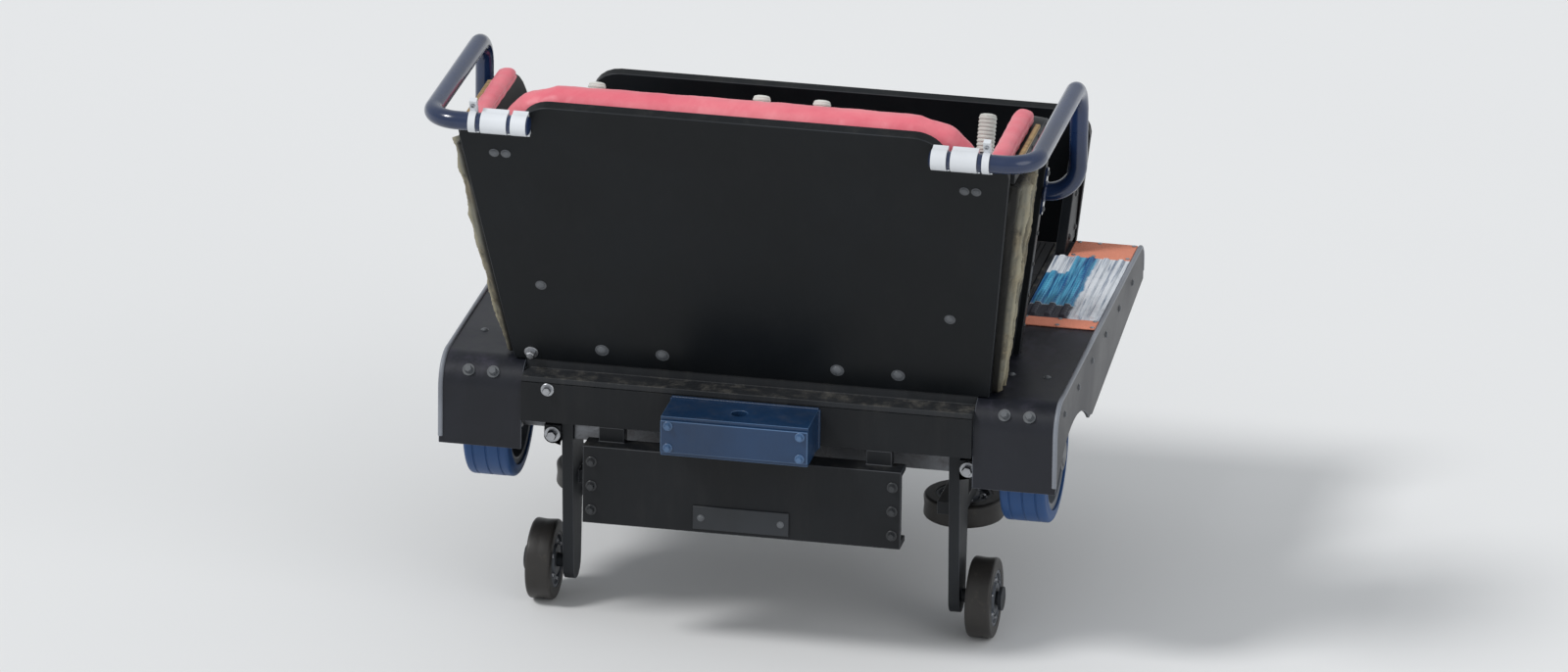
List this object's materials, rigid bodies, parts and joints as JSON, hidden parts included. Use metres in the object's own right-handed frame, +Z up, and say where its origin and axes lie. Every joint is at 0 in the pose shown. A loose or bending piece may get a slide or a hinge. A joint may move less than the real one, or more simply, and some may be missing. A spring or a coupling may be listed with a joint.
{
  "type": "wooden roller coaster car, single-bench trailing car of an articulated train",
  "caption": "Open roller coaster car: a padded bench on one rail axle, with carved sides, ribbed step fenders, grab rails, lap bars and couplings at both ends.",
  "frame": {"origin": "on the plane of the rail tops, midway between the rails and straight under the axle", "axes": "+X to the car's right, +Y forward along the track, +Z up"},
  "size_m": [1.224, 1.3257, 1.1867],
  "materials": {
    "frame_black": "satin paint",
    "bar_steel": "satin paint",
    "coupler_navy": "satin paint",
    "plate_dark": "satin paint",
    "axle_steel": "worn, lightly oiled",
    "carrier_grey": "satin paint",
    "hub_grey": "worn paint",
    "wheel_tyre": "matt polyurethane",
    "guide_poly": "worn",
    "floor_dark": "worn",
    "seat_wood": "dark varnish",
    "panel_black": "satin paint",
    "pad_rose": "satin vinyl",
    "carved_wood": "worn stain",
    "fender_grey": "satin paint",
    "tread_pale": "ribbed, matt",
    "band_terracotta": "matt grip paint",
    "rail_navy": "gloss paint",
    "clamp_bright": "polished",
    "bar_pad": "matt foam skin"
  },
  "bodies": {
    "root": {"chassis_frame": "frame_black", "drawbar": "bar_steel", "coupler_box": "coupler_navy", "coupler_cover": "coupler_navy", "rear_cross_member": "frame_black", "number_plate": "plate_dark", "axle": "axle_steel", "wheel_carrier_left": "carrier_grey", "wheel_carrier_right": "carrier_grey", "floor_pan": "floor_dark", "seat_base": "seat_wood", "back_panel": "panel_black", "back_pad": "pad_rose", "seat_cushion_left": "pad_rose", "seat_cushion_right": "pad_rose", "side_panel_left": "panel_black", "side_panel_right": "panel_black", "carved_panel_left": "carved_wood", "carved_panel_right": "carved_wood", "armrest_pad_left": "pad_rose", "armrest_pad_right": "pad_rose", "front_panel": "panel_black", "front_wing_left": "panel_black", "front_wing_right": "panel_black", "fender_left": "fender_grey", "fender_right": "fender_grey", "tread_left": "tread_pale", "tread_right": "tread_pale", "tread_bands": "band_terracotta", "grab_rail_left": "rail_navy", "grab_rail_right": "rail_navy", "rail_clamps": "clamp_bright", "lap_bar_brackets": "bar_steel"},
    "running_wheel_left": {"running_hub_left": "hub_grey", "running_tyre_left": "wheel_tyre"},
    "running_wheel_right": {"running_hub_right": "hub_grey", "running_tyre_right": "wheel_tyre"},
    "guide_wheel_left": {"guide_wheel_left": "guide_poly"},
    "guide_wheel_right": {"guide_wheel_right": "guide_poly"},
    "upstop_wheel_left": {"upstop_wheel_left": "guide_poly"},
    "upstop_wheel_right": {"upstop_wheel_right": "guide_poly"},
    "lap_bar_left": {"lap_bar_left": "bar_steel", "lap_bar_pad_left": "bar_pad"},
    "lap_bar_right": {"lap_bar_right": "bar_steel", "lap_bar_pad_right": "bar_pad"}
  },
  "joints": [
    {"name": "running_spin_left", "type": "hinge", "parent": "root", "child": "running_wheel_left", "pos_m": [-0.5335, 0, 0.135], "axis": [1, 0, 0], "continuous": true},
    {"name": "running_spin_right", "type": "hinge", "parent": "root", "child": "running_wheel_right", "pos_m": [0.5335, 0, 0.135], "axis": [1, 0, 0], "continuous": true},
    {"name": "guide_spin_left", "type": "hinge", "parent": "root", "child": "guide_wheel_left", "pos_m": [-0.3695, 0.15, -0.045], "axis": [0, 0, 1], "continuous": true},
    {"name": "guide_spin_right", "type": "hinge", "parent": "root", "child": "guide_wheel_right", "pos_m": [0.3695, 0.15, -0.045], "axis": [0, 0, 1], "continuous": true},
    {"name": "upstop_spin_left", "type": "hinge", "parent": "root", "child": "upstop_wheel_left", "pos_m": [-0.44, 0, -0.178], "axis": [1, 0, 0], "continuous": true},
    {"name": "upstop_spin_right", "type": "hinge", "parent": "root", "child": "upstop_wheel_right", "pos_m": [0.44, 0, -0.178], "axis": [1, 0, 0], "continuous": true},
    {"name": "lap_bar_swing_left", "type": "hinge", "parent": "root", "child": "lap_bar_left", "pos_m": [-0.225, 0.53, 0.33], "axis": [-1, 0, 0], "range_deg": [0, 60]},
    {"name": "lap_bar_swing_right", "type": "hinge", "parent": "root", "child": "lap_bar_right", "pos_m": [0.225, 0.53, 0.33], "axis": [-1, 0, 0], "range_deg": [0, 60]}
  ]
}
